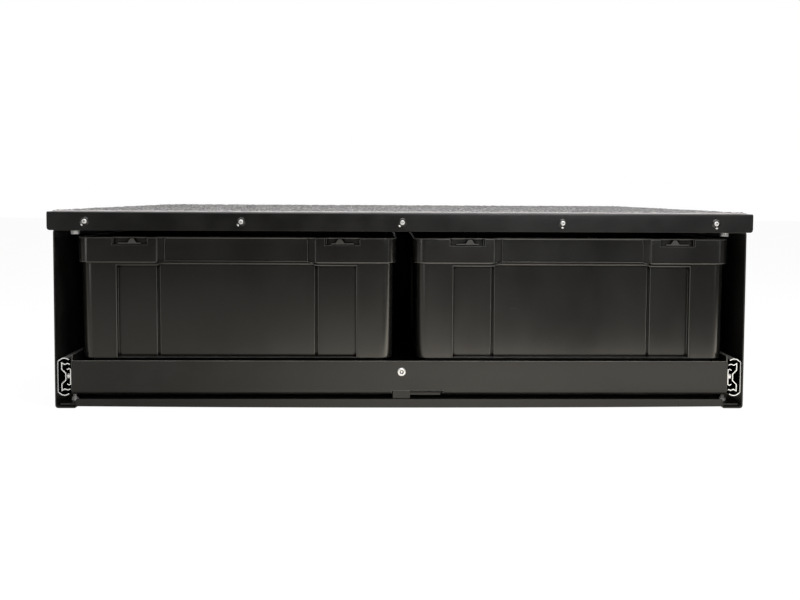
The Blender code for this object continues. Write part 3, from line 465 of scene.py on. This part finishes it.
for nodeName, edge in sheetEdges.items():
    coat = trimCoat if nodeName == "deck_front_trim" else blackCoat
    # the tray's bevels take the pale coat as a painted highlight along its edges
    refined(nodeName, coat, edge, edgeHighlightCoat if nodeName == "tray" else None)
for side in ("left", "right"):
    for member in ("cabinet", "middle", "drawer"):
        refined(f"slide_{member}_{side}", brightZinc, hardwareEdges["slide"])
    for end in ("front", "rear"):
        for member in ("cabinet", "drawer"):
            refined(f"{member}_rivet_{end}_{side}", brightZinc, hardwareEdges["rivet"])
        refined(f"base_nut_{end}_{side}", paleZinc, hardwareEdges["nut"])
        refined(f"deck_bolt_{end}_{side}", screwSteel, hardwareEdges["bolt"])
    for cage in ("outer", "inner"):
        paint(f"ball_cage_{cage}_{side}", brightZinc)
paint("deck_board", boardFinish)
refined("latch_pivot_nut", screwSteel, hardwareEdges["nut"])
refined("latch_spring", springSteel, hardwareEdges["spring"])
print("sheet metal made")


# screws with a tapered hexagon socket, made along Z and then laid down to face -Y
def growLoops(bm, loop, start, profile):
    # each step extrudes the open loop and moves it to the next radius and height
    radius = start
    for nextRadius, height in profile:
        made = bmesh.ops.extrude_edge_only(bm, edges=loop)["geom"]
        moved = vertsOf(made)
        bmesh.ops.scale(bm, vec=(nextRadius / radius, nextRadius / radius, 1), verts=moved)
        bmesh.ops.translate(bm, vec=(0, 0, height - moved[0].co.z), verts=moved)
        loop = openEdges(edgesOf(made))
        radius = nextRadius
    return loop


def layDown(bm, turn, at):
    for angle, axis in ((math.radians(turn), "Z"), (math.pi / 2, "X")):
        bmesh.ops.rotate(bm, cent=(0, 0, 0), matrix=Matrix.Rotation(angle, 3, axis), verts=bm.verts)
    bmesh.ops.translate(bm, vec=at, verts=bm.verts)


def socketScrew(node, at, size, turn):
    bm = bmesh.new()
    floor = bmesh.ops.create_circle(bm, cap_ends=True, segments=6, radius=size["socketFloor"])["verts"]
    bmesh.ops.translate(bm, vec=(0, 0, size["head"] - size["deep"]), verts=floor)
    made = bmesh.ops.extrude_edge_only(bm, edges=openEdges(bm.edges))["geom"]
    mouth = vertsOf(made)
    widen = size["socket"] / size["socketFloor"]
    bmesh.ops.scale(bm, vec=(widen, widen, 1), verts=mouth)
    bmesh.ops.translate(bm, vec=(0, 0, size["deep"] - size["chamfer"]), verts=mouth)
    inner = openEdges(edgesOf(made))
    walls = [item for item in made if isinstance(item, bmesh.types.BMFace)]
    # the land about the socket turns it round, then head and shank follow
    reach = size["socket"] * size["land"]
    ring = set(bmesh.ops.create_circle(bm, cap_ends=False, segments=size["sides"], radius=reach)["verts"])
    bmesh.ops.translate(bm, vec=(0, 0, size["head"]), verts=list(ring))
    outer = [edge for edge in bm.edges if edge.verts[0] in ring and edge.verts[1] in ring]
    bmesh.ops.bridge_loops(bm, edges=inner + outer)
    loop = growLoops(bm, outer, reach, size["profile"])
    bmesh.ops.holes_fill(bm, edges=loop, sides=size["sides"])
    # the socket walls take the dark plastic as painted shade
    for face in bm.faces:
        face.material_index = int(face in walls)
    layDown(bm, turn, at)
    piece = settle(node + "_shown", bm, screwSteel, nodes[node]["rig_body"], (node,), size["sharp"])
    piece.data.materials.append(socketShade)


dome = {"steps": 5, "flat": 0.66, "skirt": 0.25, "tip": 0.25}  # shares of the radius, the height and the shank


def domed(radius, height, under, shank, length):
    # profile from the flat top out over the dome, then down the shank
    points = []
    for step in range(1, dome["steps"] + 1):
        turn = math.pi / 2 * step / dome["steps"]
        points.append((radius * (dome["flat"] + (1 - dome["flat"]) * math.sin(turn)),
                       under + (height - under) * (dome["skirt"] + (1 - dome["skirt"]) * math.cos(turn))))
    return points + [(radius, under), (shank, under), (shank, -length + shank), (shank * dome["tip"], -length)]


trimScrew = {
    "sides": 32, "head": 0.0026, "deep": 0.0013, "chamfer": 0.0002, "socket": 0.0014, "socketFloor": 0.0011,
    "land": 1.3, "sharp": 28.0, "turn": 8.0, "turnStep": 23.0,
    "profile": domed(radius=0.0033, height=0.0026, under=0.0003, shank=0.0021, length=0.0165),
}
pivotScrew = {
    "sides": 40, "head": 0.0030, "deep": 0.0018, "chamfer": 0.0003, "socket": 0.0031, "socketFloor": 0.0016,
    "land": 1.22, "sharp": 28.0, "turn": 21.0,
    "profile": domed(radius=0.0057, height=0.0030, under=0.0003, shank=0.0030, length=0.0125),
}
dish = {
    "sides": 36, "reach": 0.0062, "proud": 0.0011, "lip": 0.0009, "bore": 0.0040, "hollow": 0.00025, "sag": 0.34,
    "sharp": 50.0,
    "lipShape": ((0.0, 0.92), (0.35, 1.0), (0.8, 0.7), (1.0, 0.0)),  # shares of the lip outwards and of the height
}
# painted glints: small bright steel spots beside the trim screws
glintSpot = {"turn": (-38.0, -42.0, -40.0, -4.0, 6.0),  # degrees from straight down, one for each ring
        "from": 0.0060, "rise": 0.6, "size": (0.0036, 0.0026, 0.0011), "sharp": 50.0}


def makeDish(name, at):
    # pressed ring with a hollow face that the screw head sits in
    bm = bmesh.new()
    bmesh.ops.create_circle(bm, cap_ends=False, segments=dish["sides"], radius=dish["bore"])
    bmesh.ops.translate(bm, vec=(0, 0, dish["hollow"]), verts=bm.verts)
    rim = dish["reach"] - dish["lip"]
    halfway = ((dish["bore"] + rim) / 2, dish["hollow"] + (dish["proud"] - dish["hollow"]) * dish["sag"])
    lip = [(rim + dish["lip"] * out, dish["proud"] * up) for out, up in dish["lipShape"]]
    growLoops(bm, list(bm.edges), dish["bore"], [halfway] + lip)
    layDown(bm, 0.0, at)
    settle(name, bm, glossBlack, "carcass", sharp=dish["sharp"])


def makeGlintSpot(name, at, turn):
    # painted glint: a bright steel spot on the lower edge of the ring
    bm = bmesh.new()
    bmesh.ops.create_uvsphere(bm, u_segments=12, v_segments=8, radius=0.5)
    bmesh.ops.scale(bm, vec=glintSpot["size"], verts=bm.verts)
    bmesh.ops.translate(bm, vec=(0, -glintSpot["from"], dish["proud"] * glintSpot["rise"]), verts=bm.verts)
    layDown(bm, turn, at)
    settle(name, bm, screwSteel, "carcass", sharp=glintSpot["sharp"])


# bright tips of the weld studs over their nuts, and stop pins at the front ends of the drawer members
studTip = {"radius": 0.0026, "height": 0.0048, "sink": 0.0010, "sides": 20, "soft": 0.0005}
slideStop = {"radius": 0.0037, "height": 0.0043, "sink": 0.0003, "sides": 24, "soft": 0.0006,
             "back": 0.0044, "up": 0.0435, "web": 0.0014}  # web is the sheet of the drawer member


def makePin(name, size, material, body, turn, at):
    # a short round pin along Z from its foot, then turned and set in place
    length = size["height"] + size["sink"]
    bm = bmesh.new()
    bmesh.ops.create_cone(bm, cap_ends=True, segments=size["sides"], radius1=size["radius"], radius2=size["radius"],
                          depth=length)
    bmesh.ops.translate(bm, vec=(0, 0, length / 2), verts=bm.verts)
    end = [edge for edge in bm.edges if min(vert.co.z for vert in edge.verts) > length - tiny]
    bmesh.ops.bevel(bm, geom=end, offset=size["soft"], segments=3, profile=0.5, affect="EDGES", material=-1)
    bmesh.ops.rotate(bm, cent=(0, 0, 0), matrix=turn, verts=bm.verts)
    bmesh.ops.translate(bm, vec=at, verts=bm.verts)
    settle(name, bm, material, body)


for side, sign in (("left", -1), ("right", 1)):
    for end in ("front", "rear"):
        low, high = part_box(f"base_nut_{end}_{side}")
        foot = ((low.x + high.x) / 2, (low.y + high.y) / 2, high.z - studTip["sink"])
        makePin(f"base_stud_{end}_{side}", studTip, paleZinc, "carcass", Matrix.Identity(3), foot)
    low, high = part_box(f"slide_drawer_{side}")
    web = (low.x if side == "right" else high.x) + sign * (slideStop["web"] - slideStop["sink"])
    makePin(f"slide_stop_{side}", slideStop, screwSteel, "drawer",
            Matrix.Rotation(sign * math.pi / 2, 3, "Y"), (web, low.y + slideStop["back"], slideStop["up"]))

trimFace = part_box("deck_front_trim")[0].y
for number, glintTurn in enumerate(glintSpot["turn"], 1):
    low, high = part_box(f"trim_screw_{number}")
    at = ((low.x + high.x) / 2, trimFace, (low.z + high.z) / 2)
    socketScrew(f"trim_screw_{number}", at, trimScrew, trimScrew["turn"] + trimScrew["turnStep"] * number)
    makeDish(f"trim_dish_{number}", at)
    makeGlintSpot(f"trim_painted_glint_{number}", at, glintTurn)
low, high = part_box("latch_pivot_screw")
socketScrew("latch_pivot_screw", ((low.x + high.x) / 2, low.y + pivotScrew["head"], (low.z + high.z) / 2),
            pivotScrew, pivotScrew["turn"])
print("screws made")


# carpet: a fine grid lifted tuft by tuft, with its cut edges drawn down to the deck
carpet = {"step": 0.0030, "lift": 0.0011, "tuft": 190.0, "fine": 2.3, "fineShare": 0.5, "contrast": 1.5,
          "edgeLift": 0.35}


def makeCarpet():
    low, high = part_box("deck_carpet")
    size = high - low
    bm = bmesh.new()
    bmesh.ops.create_grid(bm, x_segments=round(size.x / carpet["step"]), y_segments=round(size.y / carpet["step"]),
                          size=0.5)
    bmesh.ops.scale(bm, vec=(size.x, size.y, 1), verts=bm.verts)
    bmesh.ops.translate(bm, vec=((low.x + high.x) / 2, (low.y + high.y) / 2, high.z - carpet["lift"]),
                        verts=bm.verts)
    rim = openEdges(bm.edges)
    for vert in bm.verts:
        spot = vert.co * carpet["tuft"]
        tuft = noise.noise(spot) + carpet["fineShare"] * noise.noise(spot * carpet["fine"])
        lift = carpet["lift"] * max(-1.0, min(1.0, tuft * carpet["contrast"]))
        vert.co.z += lift * (carpet["edgeLift"] if vert.is_boundary else 1.0)
    made = bmesh.ops.extrude_edge_only(bm, edges=rim)["geom"]
    for vert in vertsOf(made):
        vert.co.z = low.z
    bmesh.ops.holes_fill(bm, edges=edgesOf(made), sides=0)
    settle("carpet_pile", bm, carpetFinish, "carcass", ("deck_carpet",), allSmooth)


makeCarpet()
print("carpet made")


# storage boxes: a bevelled block with its rim drawn up, pressed in panel by panel and then given its wall
box = {
    "draft": 0.0010, "corner": 0.017, "cornerSteps": 8, "wall": 0.0025, "soft": 0.00085, "softAngle": 30.0,
    "rimHeight": 0.035, "rimStep": 0.0042, "rimLip": 0.0014,  # the rim stands out over the body by its step
    "foot": 0.0012, "footTop": 0.0480, "footIn": 0.0090,  # a narrower foot under the body
    "panelHalf": 0.1641, "panelDeep": 0.0075, "panelLow": 0.0494, "panelTop": 0.0045,  # front and back panel
    "centreTop": 0.0024, "groove": (0.1067, 0.1107), "grooveDeep": 0.0030,  # its middle and upright grooves
    "sideRoom": 0.060, "sideDeep": 0.003,  # side panel
    "rimGroove": (0.0974, 0.1080), "rimGrooveDeep": 0.0026, "rimSetback": 0.0019,
    "notchMiddle": 0.1450, "notchHalf": 0.0238, "notchDeep": 0.0108, "notchIn": 0.0034,  # room for a lid catch
}
catch = {"half": 0.0225, "barHalf": 0.01575, "foot": 0.0012, "bar": 0.0015, "humpHalf": 0.0060, "humpTop": 0.0022,
         "hump": 0.0072, "humpAt": -0.0035, "front": 0.0003, "deep": 0.0024, "soft": 0.0002, "line": 0.0008,
         "top": 0.0090}
alongAxis, deadLevel = 0.9, 0.99  # least share of an axis in a face's normal for it to count as facing that way


def cutAcross(bm, axis, at):
    normal = [float(axis == name) for name in "xyz"]
    bmesh.ops.bisect_plane(bm, geom=bm.verts[:] + bm.edges[:] + bm.faces[:], dist=tiny,
                           plane_co=[part * at for part in normal], plane_no=normal)


def drawFaces(bm, faces, move):
    # the faces move and get walls round them
    made = bmesh.ops.extrude_face_region(bm, geom=faces)["geom"]
    bmesh.ops.delete(bm, geom=faces, context="FACES")
    bmesh.ops.translate(bm, vec=move, verts=vertsOf(made))


def pressIn(bm, axis, sign, depth, *windows):
    # faces along x (0) or y (1) sink where they lie in a window: from and to sideways, from and to in height
    bm.normal_update()
    chosen = []
    for face in bm.faces:
        at = face.calc_center_median()
        inside = any(near <= abs(at[1 - axis]) < far and low < at.z < high for near, far, low, high in windows)
        if inside and face.normal[axis] * sign > alongAxis:
            chosen.append(face)
    move = Vector((0, 0, 0))
    move[axis] = -sign * depth
    drawFaces(bm, chosen, move)


def boxBlock(bodyX, bodyY, ledge):
    # bevelled block between foot and ledge, open at the top, with its foot drawn down
    bm = bmesh.new()
    bmesh.ops.create_cube(bm, size=1.0)
    bmesh.ops.scale(bm, vec=(bodyX, bodyY, ledge - box["footTop"]), verts=bm.verts)
    bmesh.ops.translate(bm, vec=(0, 0, (ledge + box["footTop"]) / 2), verts=bm.verts)
    bottom = box["footTop"] + tiny
    bmesh.ops.scale(bm, vec=(1 - 2 * box["draft"] / bodyX, 1 - 2 * box["draft"] / bodyY, 1),
                    verts=[vert for vert in bm.verts if vert.co.z < bottom])
    upright = [edge for edge in bm.edges if abs(edge.verts[0].co.z - edge.verts[1].co.z) > (ledge - bottom) / 2]
    bmesh.ops.bevel(bm, geom=upright, offset=box["corner"], segments=box["cornerSteps"], profile=0.5,
                    affect="EDGES", material=-1)
    under = [edge for edge in bm.edges if max(vert.co.z for vert in edge.verts) < bottom]
    bmesh.ops.bevel(bm, geom=under, offset=box["foot"], segments=2, profile=0.5, affect="EDGES", material=-1)
    bm.normal_update()
    base = [face for face in bm.faces if face.normal.z < -deadLevel]
    bmesh.ops.inset_region(bm, faces=base, thickness=box["footIn"], use_even_offset=True)
    drawFaces(bm, base, (0, 0, -box["footTop"]))
    bm.normal_update()
    bmesh.ops.delete(bm, geom=[face for face in bm.faces if face.normal.z > alongAxis], context="FACES")
    return bm


def drawRim(bm, bodyX, bodyY, size, ledge):
    # out over the ledge, up, and back in by the lip
    lip = box["rimLip"]
    loop, reachX, reachY = openEdges(bm.edges), bodyX, bodyY
    for nextX, nextY, height in ((size.x, size.y, ledge), (size.x, size.y, size.z - lip),
                                 (size.x - 2 * lip, size.y - 2 * lip, size.z)):
        made = bmesh.ops.extrude_edge_only(bm, edges=loop)["geom"]
        for vert in vertsOf(made):
            vert.co.z = height
        bmesh.ops.scale(bm, vec=(nextX / reachX, nextY / reachY, 1), verts=vertsOf(made))
        loop, reachX, reachY = openEdges(edgesOf(made)), nextX, nextY


def pressPanels(bm, bodyY, size, ledge):
    grooveIn, grooveOut = box["groove"]
    rimIn, rimOut = box["rimGroove"]
    notchIn, notchOut = box["notchMiddle"] - box["notchHalf"], box["notchMiddle"] + box["notchHalf"]
    notchLow, rimTop = size.z - box["notchDeep"], size.z - box["rimLip"]
    panelLow, panelTop, centreTop = box["panelLow"], ledge - box["panelTop"], ledge - box["centreTop"]
    sideHalf = bodyY / 2 - box["sideRoom"]
    for at in (box["panelHalf"], grooveIn, grooveOut, rimIn, rimOut, notchIn, notchOut):
        cutAcross(bm, "x", at)
        cutAcross(bm, "x", -at)
    for at in (panelLow, panelTop, centreTop, notchLow):
        cutAcross(bm, "z", at)
    for at in (-sideHalf, sideHalf):
        cutAcross(bm, "y", at)
    for sign in (-1, 1):
        pressIn(bm, 1, sign, box["panelDeep"],
                (0, box["panelHalf"], panelLow, panelTop), (0, grooveIn, panelLow, centreTop))
        pressIn(bm, 1, sign, box["grooveDeep"], (grooveIn, grooveOut, panelLow, panelTop))
        pressIn(bm, 1, sign, box["rimGrooveDeep"], (rimIn, rimOut, ledge + tiny, size.z))
        pressIn(bm, 1, sign, box["rimSetback"], (0, rimIn, ledge + tiny, size.z))
        pressIn(bm, 0, sign, box["sideDeep"], (0, sideHalf, panelLow, panelTop))
        pressIn(bm, 1, sign, box["notchIn"], (notchIn, notchOut, notchLow, rimTop))


def addSlab(bm, corners, front, back):
    # a flat outline at one depth, extruded to the other
    face = bm.faces.new([bm.verts.new((x, front, z)) for x, z in corners])
    made = bmesh.ops.extrude_face_region(bm, geom=[face])["geom"]
    bmesh.ops.translate(bm, vec=(0, back - front, 0), verts=vertsOf(made))


def makeCatches(node, nodeLow, nodeHigh):
    # lid catches in the notches
    bm = bmesh.new()
    middle = (nodeLow.x + nodeHigh.x) / 2
    floor = nodeHigh.z - box["notchDeep"] + catch["foot"]
    bar, hump, roof = floor + catch["bar"], floor + catch["hump"], floor + catch["top"]
    away = math.copysign(1.0, middle)  # away from the middle of the unit
    for front, sign in ((nodeLow.y, 1), (nodeHigh.y, -1)):
        for side in (-1, 1):
            x = middle + side * box["notchMiddle"]
            humpAt = x + catch["humpAt"] * side * sign
            outline = [(x - catch["barHalf"], floor), (x + catch["barHalf"], floor), (x + catch["barHalf"], bar),
                       (humpAt + catch["humpHalf"], bar), (humpAt + catch["humpTop"], hump),
                       (humpAt - catch["humpTop"], hump), (humpAt - catch["humpHalf"], bar),
                       (x - catch["barHalf"], bar)]
            addSlab(bm, outline, front + sign * catch["front"], front + sign * catch["deep"])
            # painted highlights: pale strips stand for the moulded edge along the top of the window and down its
            # outer side
            outer = x + away * catch["half"]
            inner = outer - away * catch["line"]
            for left, right, foot in ((x - catch["half"], x + catch["half"], roof - catch["line"]),
                                      (min(outer, inner), max(outer, inner), floor)):
                addSlab(bm, [(left, foot), (right, foot), (right, roof), (left, roof)],
                        front - sign * catch["soft"], front + sign * catch["deep"])
    piece = settle(node + "_catches", bm, catchHighlightPlastic, "drawer", sharp=allSmooth)
    softEdges(piece, catch["soft"])


def makeBox(node):
    low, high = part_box(node)
    middle, size = (low + high) / 2, high - low
    bodyX, bodyY = size.x - 2 * box["rimStep"], size.y - 2 * box["rimStep"]
    ledge = size.z - box["rimHeight"]
    bm = boxBlock(bodyX, bodyY, ledge)
    drawRim(bm, bodyX, bodyY, size, ledge)
    pressPanels(bm, bodyY, size, ledge)
    bmesh.ops.translate(bm, vec=(middle.x, middle.y, low.z), verts=bm.verts)
    shell = settle(node + "_shell", bm, boxPlastic, "drawer", (node,), allSmooth)
    wall = shell.modifiers.new("wall", "SOLIDIFY")
    wall.thickness = box["wall"]
    wall.offset = -1.0
    wall.use_quality_normals = True
    # the bevels of the box take the pale plastic as painted highlights
    softEdges(shell, box["soft"], box["softAngle"], edgeHighlightPlastic)
    makeCatches(node, low, high)


for row in ("front", "rear"):
    for side in ("left", "right"):
        makeBox(f"storage_box_{row}_{side}")
print("boxes made")


# stage: a white floor that gives off light by place, for what mirrors it and for the camera
floorLook = {
    "colour": (0.86, 0.86, 0.86), "rough": 0.9, "reach": 9.0, "drop": 0.0002, "seen": 0.90, "white": 1.06,
    "warm": (1.0, 0.93, 0.80), "plain": (1.0, 1.0, 1.0),
    "glowY": (-2.3, -0.9), "glow": (0.07, 0.36),  # grows towards the unit
    "glowX": (-0.5, 0.6), "glowTilt": (1.35, 0.47),  # and falls from left to right
    "patchY": (-1.45, -0.85), "patchX": (0.06, 0.34), "patch": 0.66,  # in front of the middle
    "stripY": (-0.67, -0.52), "stripX": (-0.48, 0.34), "strip": (0.55, 5.0),  # close to the front
    "underY": (-0.50, -0.40), "under": (1.0, 0.30),  # the strip fades under the unit
    "flankX": (0.60, 0.75), "flankY": (-1.0, -0.8), "flank": 0.12,  # on both sides
}


def makeFloor():
    look = floorLook
    bm = bmesh.new()
    bmesh.ops.create_grid(bm, x_segments=1, y_segments=1, size=look["reach"])
    bmesh.ops.translate(bm, vec=(0, 0, -look["drop"]), verts=bm.verts)
    mesh = bpy.data.meshes.new("studio_floor")
    bm.to_mesh(mesh)
    bm.free()
    floor = bpy.data.objects.new("studio_floor", mesh)
    bpy.context.scene.collection.objects.link(floor)
    finish = Finish("studio_floor_white", {"Base Color": (*look["colour"], 1.0), "Roughness": look["rough"]})
    direct = finish.path("Camera")
    mirrored = finish.path("Glossy") + finish.path("Transmission")
    near = finish.axis("Y").ramp(*look["glowY"], *look["glow"])
    patch = finish.axis("Y").ramp(*look["patchY"]) * abs(finish.axis("X")).ramp(*look["patchX"], 1.0, 0.0)
    near = near * finish.axis("X").ramp(*look["glowX"], *look["glowTilt"])
    under = finish.axis("Y").ramp(*look["underY"], *look["under"])
    flank = abs(finish.axis("X")).ramp(*look["flankX"]) * finish.axis("Y").ramp(*look["flankY"])
    strip = finish.axis("Y").ramp(*look["stripY"]) * finish.axis("X").ramp(*look["stripX"], *look["strip"])
    colour = finish.mix(direct, look["warm"], look["plain"])
    shown = direct * look["white"]
    given = near + patch * look["patch"] + strip * under + flank * look["flank"]
    glow = finish.add("ShaderNodeEmission", {}, {"Color": colour, "Strength": shown + given * (1.0 - direct)})
    finish.show(finish.add("ShaderNodeMixShader", {}, {0: (direct + mirrored) * look["seen"],
                                                       1: Link(finish, finish.shader.outputs[0]), 2: glow}))
    floor.data.materials.append(finish.material)


# room: white where the camera looks, and behind the object for what mirrors it; dim in front
room = {"dim": 0.07, "behind": (0.0, 0.5)}


def makeWorld():
    world = bpy.data.worlds.new("studio_world")
    world.use_nodes = True
    bpy.context.scene.world = world
    sky = NodeTree(world.node_tree)
    back = sky.tree.nodes["Background"]
    back.inputs["Color"].default_value = (1, 1, 1, 1)
    direct, mirrored = sky.path("Camera"), sky.path("Glossy")
    where = sky.add("ShaderNodeTexCoord", output="Generated")
    behind = sky.add("ShaderNodeSeparateXYZ", {}, {"Vector": where}, "Y").ramp(*room["behind"])
    white = direct.most(mirrored * behind)
    sky.tree.links.new((white * (1.0 - room["dim"]) + room["dim"]).socket, back.inputs["Strength"])


lamps = {  # place, aim, size and watts
    "overhead": ((0.15, -0.55, 2.1), (0, 0, 0.1), (2.2, 1.4), 38.0),
    "behind_camera": ((0.78, -3.3, 1.15), (0.1, -0.3, 0.25), (0.8, 1.0), 17.0),
    "left_panel": ((-1.35, -1.7, 0.32), (0, -0.3, 0.12), (0.35, 0.6), 1.6),
    "trim_panel": ((0.52, -1.8, 0.56), (0.25, -0.35, 0.26), (0.7, 0.12), 1.2),
    "right_panel": ((1.40, -1.8, 0.32), (0, -0.3, 0.12), (0.35, 0.6), 0.7),
    "key": ((0.45, -1.0, 2.0), (0, -0.3, 0.15), (0.3, 0.3), 7.0),
}


def addLamp(name, at, aim, size, power):
    lamp = bpy.data.lights.new(name, "AREA")
    lamp.shape = "RECTANGLE"
    lamp.size, lamp.size_y = size
    lamp.energy = power
    holder = bpy.data.objects.new(name, lamp)
    holder.location = at
    holder.rotation_euler = (Vector(aim) - Vector(at)).to_track_quat("-Z", "Y").to_euler()
    holder.visible_camera = False
    bpy.context.scene.collection.objects.link(holder)


# camera fitted to the photo; angles in degrees, level and along +Y when all are 0
photo = {"at": (-0.02645, -1.56234, 0.29421), "yaw": 1.09506, "pitch": -2.71465, "roll": 0.27249,
         "lens": 40.257, "sensor": 36.0, "shift": -0.079}


def addCamera():
    data = bpy.data.cameras.new("photo_camera")
    data.sensor_width = photo["sensor"]
    data.sensor_fit = "HORIZONTAL"
    data.lens = photo["lens"]
    data.shift_y = photo["shift"]
    camera = bpy.data.objects.new("photo_camera", data)
    turn = (Matrix.Rotation(math.radians(-photo["yaw"]), 4, "Z")
            @ Matrix.Rotation(math.radians(90.0 + photo["pitch"]), 4, "X")
            @ Matrix.Rotation(math.radians(photo["roll"]), 4, "Z"))
    camera.matrix_world = Matrix.Translation(photo["at"]) @ turn
    bpy.context.scene.collection.objects.link(camera)
    bpy.context.scene.camera = camera


makeFloor()
makeWorld()
for name, (at, aim, size, power) in lamps.items():
    addLamp(name, at, aim, size, power)
addCamera()
bpy.context.scene.view_settings.view_transform = "Standard"
print("stage, lamps and camera made")
